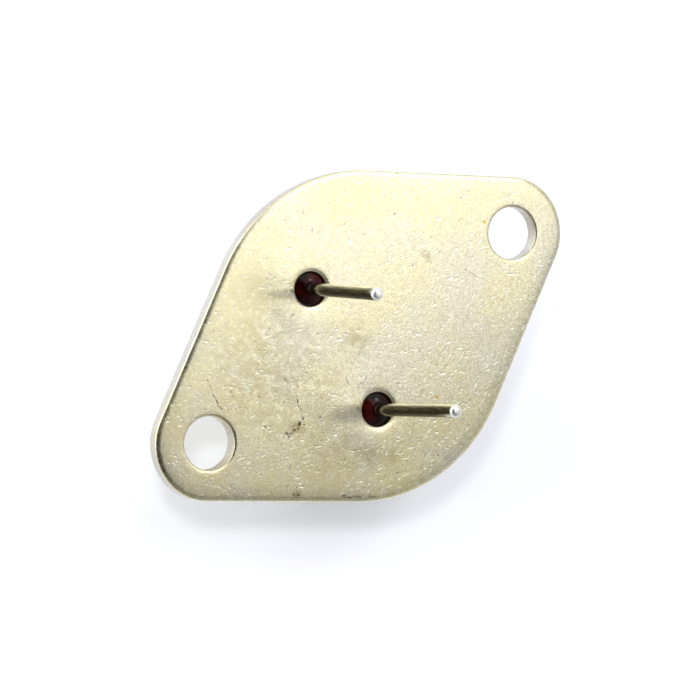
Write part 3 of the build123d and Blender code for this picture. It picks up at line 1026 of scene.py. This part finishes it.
# %% Pale paper for the table
paper_lit = (0.86, 0.87, 0.90, 1)
paper_seen = (1.165, 1.185, 1.265, 1)
glow_tint, glow_strength = (0.98, 0.99, 1.0, 1), 0.04
paper = bpy.data.materials.new("pale paper")
paper.use_nodes = True
tree = paper.node_tree
rays = add_node(tree, "ShaderNodeLightPath").outputs
seen = calc(tree, "MAXIMUM", rays["Is Camera Ray"], rays["Is Glossy Ray"])
seen = calc(tree, "MAXIMUM", seen, rays["Is Transmission Ray"])
white = blend_colours(tree, seen, paper_lit, paper_seen)
sheet = add_node(tree, "ShaderNodeBsdfDiffuse", {"Color": white}).outputs[0]
strength = calc(tree, "MULTIPLY", seen, glow_strength)
glow = add_node(tree, "ShaderNodeEmission", {"Color": glow_tint, "Strength": strength}).outputs[0]
both = add_node(tree, "ShaderNodeAddShader", {0: sheet, 1: glow}).outputs[0]
tree.links.new(both, tree.nodes["Material Output"].inputs["Surface"])
table_mesh.materials.append(paper)
print("pale paper:", len(tree.nodes), "nodes")

# %% [markdown]
# ## The camera
# The part is small, so it is taken with a long lens from about 30 cm. The camera looks down on
# the seating face over the ear at -X, and is rolled so that the line of the mounting holes climbs
# to the right. Its place and the directions of its right and its top are given, and cross products
# give the third direction and make all three square to each other.

# %% Set up the camera
camera_place = Vector((-103.336, 76.412, 264.660)) * MM
camera_right = Vector((0.77027, -0.46907, 0.43203)).normalized()
camera_up = Vector((0.53538, 0.84373, -0.03847)).normalized()
camera_back = camera_right.cross(camera_up).normalized()
camera_up = camera_back.cross(camera_right)
camera_data = bpy.data.cameras.new("camera")
camera_data.lens = 197.45
camera_data.sensor_width = 36.0
camera_data.clip_start, camera_data.clip_end = 0.01, 10.0
camera = bpy.data.objects.new("camera", camera_data)
turned = Matrix((camera_right, camera_up, camera_back)).transposed().to_4x4()
camera.matrix_world = Matrix.Translation(camera_place) @ turned
bpy.context.collection.objects.link(camera)
bpy.context.scene.camera = camera
print("camera distance", round(camera_place.length / MM, 1), "mm")

# %% [markdown]
# ## The studio
# Metal shows the room it is in. The room is pale and even, a little dimmer overhead, with a bright
# window on one side and a paler wall to the left. A dark zone lies where the camera and the person
# behind it stand, and a weaker one below it. They draw the dark line along the rolled rim and the
# dark core of the leads, and they shade the near half of the plate. A softbox close above the part
# fades across the plate, and a smaller lamp further off on the same side adds to it. The key lamp
# and the wall lamp are hidden from reflections, so the metal doesn't mirror them: they light the
# table, and lay the part's soft shadow on it.

# %% The room
# Each zone is (centre, inner degrees, outer degrees, strength).
even_level, overhead_change = 0.72, -0.33
bright_zones = {
    "window": ((0.50, 0.48, 0.72), 16, 36, 1.15),
    "left wall": ((-0.57, 0.81, 0.16), 15, 48, 1.9),
}
dark_zones = {
    "behind the camera": ((-0.41, 0.24, 0.88), 25, 43, 0.97),
    "below the camera": ((-0.485, -0.621, 0.616), 18, 52, 0.38),
}
room_tint = (0.97, 0.985, 1.0)
room = bpy.data.worlds.new("room")
bpy.context.scene.world = room
room.use_nodes = True
tree = room.node_tree
direction = add_node(tree, "ShaderNodeTexCoord").outputs["Generated"]


def zone(centre, inner, outer):
    """1 within inner degrees of a direction, fading to 0 at outer degrees."""
    cosine = vector_measure(tree, "DOT_PRODUCT", direction, tuple(Vector(centre).normalized()))
    return smooth_step(tree, cosine, cos(radians(outer)), cos(radians(inner)))


overhead = smooth_step(tree, split(tree, direction)[2], 0.45, 0.85)
level = calc(tree, "MULTIPLY_ADD", overhead, overhead_change, even_level)
for centre, inner, outer, strength in bright_zones.values():
    level = calc(tree, "MULTIPLY_ADD", zone(centre, inner, outer), strength, level)
for centre, inner, outer, strength in dark_zones.values():
    kept_light = calc(tree, "MULTIPLY_ADD", zone(centre, inner, outer), -strength, 1.0)
    level = calc(tree, "MULTIPLY", level, kept_light)
background = tree.nodes["Background"]
background.inputs["Color"].default_value = (*room_tint, 1)
tree.links.new(level, background.inputs["Strength"])
print("room:", [*bright_zones, *dark_zones])


# %% The lamps
lamp_tint = (1.0, 0.995, 0.98)


def softbox(name, place, width, height, watts, colour, mirrored):
    """A rectangular soft lamp at place, in millimetres, turned to face the part."""
    lamp = bpy.data.lights.new(name, "AREA")
    lamp.shape = "RECTANGLE"
    lamp.size, lamp.size_y = width * MM, height * MM
    lamp.energy = watts
    lamp.color = colour
    holder = bpy.data.objects.new(name, lamp)
    holder.visible_glossy = mirrored
    holder.location = Vector(place) * MM
    holder.rotation_mode = "QUATERNION"
    holder.rotation_quaternion = (-Vector(place)).to_track_quat("-Z", "Y")
    bpy.context.collection.objects.link(holder)
    return holder


lamps = [
    softbox("near softbox", (38.8, 1.4, 74.5), 60.0, 60.0, 0.0132, lamp_tint, mirrored=True),
    softbox("far lamp", (177.0, 92.0, 224.0), 46.0, 46.0, 0.050, lamp_tint, mirrored=True),
    softbox("key lamp", (-79.5, 137.7, 254.4), 34.0, 34.0, 0.150, lamp_tint, mirrored=False),
    softbox("wall lamp", (-167.0, 238.4, 72.6), 300.0, 130.0, 0.60, room_tint, mirrored=False),
]
print("lamps:", [lamp.name for lamp in lamps])

# %% [markdown]
# ## Finish
# Colours are shown as they are written, with no film look.

# %% View settings
bpy.context.scene.view_settings.view_transform = "Standard"
